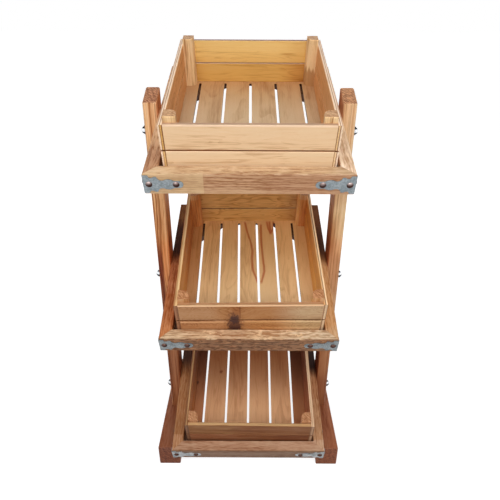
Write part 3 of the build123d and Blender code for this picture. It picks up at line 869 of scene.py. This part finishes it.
# Corner posts of the crates
corner_wood = {"top": (232, 196, 146), "middle": (205, 134, 74), "bottom": (194, 138, 97)}
corner_ends = {"top": (215, 175, 133), "middle": (206, 152, 108), "bottom": (201, 150, 109)}
corner_streak = {"top": 1.7, "middle": 1.8, "bottom": 1.8}
# Pale line along the top of the corner posts' front faces: painted highlight
painted_top_highlight = on_front((1.25, 1.28, 1.3), z=(0.0935, STOP, 0.0006))
corner_patches = {
    "top": (
        painted_top_highlight,
        patch((0.62, 0.47, 0.36), x=(0.1, STOP, 0.001), y=(0.1, STOP, 0.001), z=(START, 0.026, 0.005),
              ragged=0.08),
    ),
    "middle": (
        # Painted highlight along the top of the front faces, and painted light on the faces towards -x
        on_front((1.0, 1.25, 1.7), z=(0.08, STOP, 0.0006)),
        patch((1.45, 2.0, 2.4), facing="-x"),
    ),
    "bottom": (painted_top_highlight,),
}


def board_stains_and_shade(tier, wall, course):
    """A board's own patches, the lower course's tint, and the painted shade inside the crate."""
    key = f"{tier}_{wall}"
    stains_and_shade = board_patches.get(f"{key}_{course}", ())
    if course == "lower" and key in lower_tint:
        stains_and_shade += (patch(lower_tint[key]),)
    if wall == "back" and f"{tier}_{course}" in back_shade:
        middle, (left, left_soft, left_tint), (right, right_soft, right_tint) = back_shade[f"{tier}_{course}"]
        stains_and_shade += (
            on_front(middle),
            on_front(left_tint, x=(START, left, left_soft)),
            on_front(right_tint, x=(right, STOP, right_soft)),
        )
    if key in side_shade:
        front, (start, soft, back) = side_shade[key]
        inward = "+x" if wall == "left" else "-x"
        stains_and_shade += (patch(front, facing=inward), patch(back, y=(start, STOP, soft), facing=inward))
    return stains_and_shade


def board_edge(tier, wall, course):
    """Plies along a board's edges and at its ends."""
    key = f"{tier}_{wall}"
    half, sign = {
        "front": (CRATE_HALF_LENGTH, -1), "back": (CRATE_HALF_LENGTH, 1),
        "left": (CRATE_HALF_WIDTH, -1), "right": (CRATE_HALF_WIDTH, 1),
    }[wall]
    return {
        "outer": sign * half,
        "inner": sign * (half - BOARD),
        "top": plies[key] if course == "upper" else shaded_lower_plies.get(key, shaded_lower_plies[tier]),
        "end": ply_ends.get(f"{key}_{course}", ply_ends.get(key)),
    }


def floor_stains_and_shade(tier):
    """A floor's painted shade towards the back, and the tones of its strips."""
    number, middle, spacing = slots[tier]
    cuts = [middle + (k - (number - 1) / 2) * spacing for k in range(number)]
    cuts = [START, *cuts, STOP]
    strips = [(low, high, slot_soft) for low, high in zip(cuts, cuts[1:])]
    outermost = (strips[0], strips[-1])
    stains_and_shade = [patch(floor_painted_shade[tier], y=(painted_shade_from[tier], STOP, painted_shade_soft))]
    stains_and_shade += [patch((tint, tint**1.3, tint**1.5), x=strip) for strip, tint in zip(strips, strip_tints[tier])]
    if tier == "bottom":
        # Painted shade on the outermost strips towards the back, beside the walls
        stains_and_shade += [patch((0.48, 0.58, 0.88), x=strip, y=(0.0, STOP, painted_shade_soft)) for strip in outermost]
        stains_and_shade += [patch((0.94, 0.79, 0.71), x=strip) for strip in outermost]
    if tier == "middle":
        stains_and_shade.append(patch((0.98, 0.86, 0.78), x=strips[0]))
    return stains_and_shade


for row, tier in enumerate(TIERS):
    for count, (wall, tone) in enumerate(zip(WALLS, crate_wood[tier])):
        key = f"{tier}_{wall}"
        grain = "x" if wall in ("front", "back") else "y"
        streak, fleck = (0.4, 0.3) if wall == "back" else (0.6, 0.45)
        contrast = board_contrast.get(key, 1.0)
        for course in ("upper", "lower"):
            paint(f"{tier}_crate_{wall}_{course}_board", wood(
                f"{key}_{course}_ply", f"{tier}_crate", grain, "z", tone,
                depth=0.24 if key == "middle_front" else 0.2,
                seed=23.0 * row + 3.0 * count + (1.7 if course == "upper" else 0.0),
                broad=0.8, streak=streak * contrast, fleck=fleck * contrast, grit=(0.09, 0.0024), pore=0.5,
                wander=0.02, swirl=board_swirl.get(key, plain_swirl), knots=board_knots.get(key, ()),
                patches=board_stains_and_shade(tier, wall, course), edge=board_edge(tier, wall, course),
            ))
    paint(f"{tier}_crate_floor_slats", wood(
        f"{tier}_floor_ply", f"{tier}_crate", "y", "x", floor_wood[tier], seed=41.0 + row,
        broad=0.6, streak=0.4, fleck=0.3, grit=(0.14, 0.0018), pore=0.5, swirl=floor_swirl[tier],
        patches=floor_stains_and_shade(tier), traces=floor_traces.get(tier, ()), knots=floor_knots.get(tier, ()),
        edge={"outer": CRATE_BASE, "inner": CRATE_BASE + FLOOR_PANEL, "top": slot_sides},
    ))
    paint(f"{tier}_crate_corner_posts", wood(
        f"{tier}_corner_post_wood", f"{tier}_crate", "z", "x", corner_wood[tier], depth=0.3, lift=0.18,
        seed=51.0 + row, streak=corner_streak[tier], fleck=0.7, grit=(0.05, 0.0026),
        patches=corner_patches[tier], end=shades(corner_ends[tier], 0.3, 0.0)[:2],
    ))

# Corner brackets: tones, scale of the cloudy tone, specks and bump
zinc_rough = (0.46, 0.36)
zinc_plate = {
    "top": (((122, 131, 135), (152, 160, 164)), 50.0, 0.9, 0.04),
    "middle": (((101, 109, 113), (147, 153, 155)), 60.0, 0.9, 0.05),
    "bottom": (((107, 113, 115), (171, 172, 173)), 60.0, 1.2, 0.05),
}
for tier, (tones, scale, speck, bump) in zinc_plate.items():
    zinc = metal(f"{tier}_zinc_plate", tones, zinc_rough, scale, speck=speck, bump=bump)
    paint(f"{tier}_tray_corner_brackets", zinc)


def dome(radius, rise, foot, steps):
    """Profile of a round cap above a foot, from its rim to its top."""
    ball = (radius**2 + rise**2) / (2 * rise)
    sizes = [radius * cos(pi / 2 * k / steps) for k in range(steps)] + [0.0]
    return [(size, foot + rise - ball + (ball**2 - size**2) ** 0.5) for size in sizes]


def lathe(bm, origin, axis, profile, segments, first=None, index=0):
    """Turned form: profile gives radius and height along the axis, first the way to its first corner."""
    axis = axis.normalized()
    u = first or axis.orthogonal().normalized()
    v = axis.cross(u)
    rings = []
    for radius, height in profile:
        turns = [2 * pi * k / segments for k in range(segments if radius else 1)]
        centre = origin + axis * height
        rings.append([bm.verts.new(centre + (u * cos(a) + v * sin(a)) * radius) for a in turns])
    faces = [rings[0][::-1]]
    for low, high in zip(rings, rings[1:]):
        for k in range(segments):
            j = (k + 1) % segments
            faces.append((low[k], low[j], high[0]) if len(high) == 1 else (low[k], low[j], high[j], high[k]))
    if len(rings[-1]) > 1:
        faces.append(rings[-1])
    for corners in faces:
        bm.faces.new(corners).material_index = index


def piece(name, bm, materials, slot, body, *replaced):
    """Finish a mesh piece: smooth with sharp edges, on its body, in place of its nodes."""
    bmesh.ops.recalc_face_normals(bm, faces=bm.faces)
    mesh = bpy.data.meshes.new(name)
    bm.to_mesh(mesh)
    bm.free()
    mesh.shade_smooth()
    mesh.set_sharp_from_angle(angle=radians(38))
    for material in materials:
        mesh.materials.append(material)
    made = bpy.data.objects.new(name, mesh)
    scene.collection.objects.link(made)
    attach(made, body)
    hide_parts(*replaced)


# Domed screw heads on the brackets, with painted shade on their lower side
BRACKET = 0.001
SCREW_PLACES = (0.0103, 0.0616)
HEAD_RADIUS = 0.0065
HEAD_RIM = 0.0005
HEAD_RISE = 0.0031
HEAD_STEPS = 7
HEAD_SEGMENTS = 28
painted_lower_shade = ((-0.2, -0.5, 1), 0.1, 0.95, (66, 45, 41))
bronze_scale = 200.0
# The middle and bottom tiers' darker tones are painted shade under the trays above
bronze = {
    "top": (((128, 110, 105), (180, 164, 160)), (0.58, 0.48)),
    "middle": (((74, 51, 45), (124, 97, 88)), (0.55, 0.45)),
    "bottom": (((74, 50, 42), (112, 83, 72)), (0.55, 0.45)),
}
head = [(HEAD_RADIUS, 0.0)] + dome(HEAD_RADIUS, HEAD_RISE, HEAD_RIM, HEAD_STEPS)
for tier in TIERS:
    bm = bmesh.new()
    for sign in SIDES.values():
        for place in SCREW_PLACES:
            before = spot(tier, sign * (TRAY_HALF_WIDTH - place), -BRACKET, -BAR_HEIGHT / 2)
            beside = spot(tier, sign * (TRAY_HALF_WIDTH + BRACKET), place, -BAR_HEIGHT / 2)
            lathe(bm, before, -ALONG, head, HEAD_SEGMENTS)
            lathe(bm, beside, Vector((sign, 0, 0)), head, HEAD_SEGMENTS)
    tones, rough = bronze[tier]
    material = metal(f"{tier}_bronze_screw", tones, rough, bronze_scale, painted_shade=painted_lower_shade)
    piece(f"{tier}_screw_domes", bm, [material], "bronze_screw", "stand", f"{tier}_tray_bracket_screws")

# Cap nuts on the studs: hexagon with chamfered ends and a smooth dome, with two dark reflections
POST_OUTER = 0.231
STUD_Y = -0.00444
STUD_DROP = 0.0375
NUT_HEX = ((0.0092, 0.0), (0.00981, 0.0006), (0.00981, 0.0052), (0.009, 0.006))
NUT_SINK = 0.0058
NUT_DOME_RADIUS = 0.0079
NUT_DOME_RISE = 0.0055
NUT_DOME_STEPS = 8
NUT_DOME_SEGMENTS = 32
steel = ((214, 218, 222), (240, 242, 244))
steel_rough = (0.16, 0.08)
steel_scale = 120.0
reflection = (30, 38, 50)
nut_bands = {"bottom": (0.0022, 0.0068), "middle": (0.0014, 0.0066), "top": (-0.002, 0.0046)}
cap = [(NUT_DOME_RADIUS, NUT_SINK)] + dome(NUT_DOME_RADIUS, NUT_DOME_RISE, NUT_HEX[-1][1], NUT_DOME_STEPS)
chrome = {}
bm = bmesh.new()
for index, tier in enumerate(TIERS):
    run = (STUD_Y - TRAY_FRONT[tier] - STUD_DROP * sin(TILT)) / cos(TILT)
    stud = spot(tier, 0.0, run, -STUD_DROP)
    low, high = nut_bands[tier]
    bands = (stud.z + low, stud.z + high, reflection)
    chrome[tier] = metal(f"{tier}_bright_steel", steel, steel_rough, steel_scale, bands=bands)
    for sign in SIDES.values():
        seat = Vector((sign * POST_OUTER, stud.y, stud.z))
        outward = Vector((sign, 0, 0))
        lathe(bm, seat, outward, NUT_HEX, 6, first=Vector((0, 0, 1)), index=index)
        lathe(bm, seat, outward, cap, NUT_DOME_SEGMENTS, index=index)
piece("cap_nut_domes", bm, chrome.values(), "bright_steel", "stand", "cap_nuts")
paint("tray_studs", chrome["top"])

# Floor: white to the camera, with the stand's shadow kept
FLOOR_HALF = 30.0
FLOOR_GLOW = (0.5, 2.2, 0.88, 1.0)
g = Graph(bpy.data.materials.new("floor"))
both = g.fill(
    g.node("AddShader"),
    g.shader("BsdfDiffuse", Color=grey(0.3)),
    g.shader("Emission", Color=WHITE, Strength=g.step(g.length(g.coords()), *FLOOR_GLOW)),
)
pale = g.shader("BsdfDiffuse", Color=grey(0.8))
g.output(g.fill(g.node("MixShader"), g.seen(), pale, both))
bm = bmesh.new()
bmesh.ops.create_grid(bm, x_segments=1, y_segments=1, size=FLOOR_HALF)
mesh = bpy.data.meshes.new("floor")
bm.to_mesh(mesh)
bm.free()
mesh.materials.append(g.owner)
floor = bpy.data.objects.new("floor", mesh)
scene.collection.objects.link(floor)

# World: faint even light, white where it is seen
WORLD_LIGHT = 0.05
g = Graph(bpy.data.worlds.new("studio"))
faint = g.shader("Background", Color=WHITE, Strength=WORLD_LIGHT)
white = g.shader("Background", Color=WHITE, Strength=1.0)
scene.world = g.output(g.fill(g.node("MixShader"), g.seen(), faint, white), "OutputWorld")

# Large soft lamps aimed at the middle of the stand: place, size and power in watts
AIM = Vector((0.0, 0.0, 0.5))
LAMPS = {
    "key": ((0.0, -2.2, 1.7), (2.0, 1.0), 27.0),
    "high": ((0.0, -1.5, 2.6), (2.0, 1.0), 25.0),
    "left": ((-2.2, -1.2, 1.6), (1.2, 1.4), 12.0),
    "right": ((2.2, -1.2, 1.6), (1.2, 1.4), 15.0),
    "back": ((0.0, 2.4, 1.8), (2.0, 1.2), 20.0),
}
for name, (place, size, watts) in LAMPS.items():
    lamp = bpy.data.lights.new(name, "AREA")
    lamp.shape = "RECTANGLE"
    lamp.size, lamp.size_y = size
    lamp.energy = watts
    softbox = bpy.data.objects.new(name, lamp)
    softbox.location = place
    softbox.rotation_euler = (AIM - Vector(place)).to_track_quat("-Z", "Y").to_euler()
    scene.collection.objects.link(softbox)

# Camera as in the photograph: lengths in metres, angles in degrees, focal length and picture in pixels
EYE = (0.0, -1.0327, 1.1251)
PITCH = 27.62
ROLL = 0.28
FOCAL = 455.3
PICTURE = 500.0
SENSOR_MM = 36.0
SHIFT_X = 0.00166
lens = bpy.data.cameras.new("camera")
lens.sensor_width = SENSOR_MM
lens.lens = SENSOR_MM * FOCAL / PICTURE
lens.shift_x = SHIFT_X
camera = bpy.data.objects.new("camera", lens)
camera.matrix_world = (
    Matrix.Translation(EYE)
    @ Matrix.Rotation(radians(90.0 - PITCH), 4, "X")
    @ Matrix.Rotation(radians(ROLL), 4, "Z")
)
scene.collection.objects.link(camera)
scene.camera = camera
scene.view_settings.view_transform = "Standard"
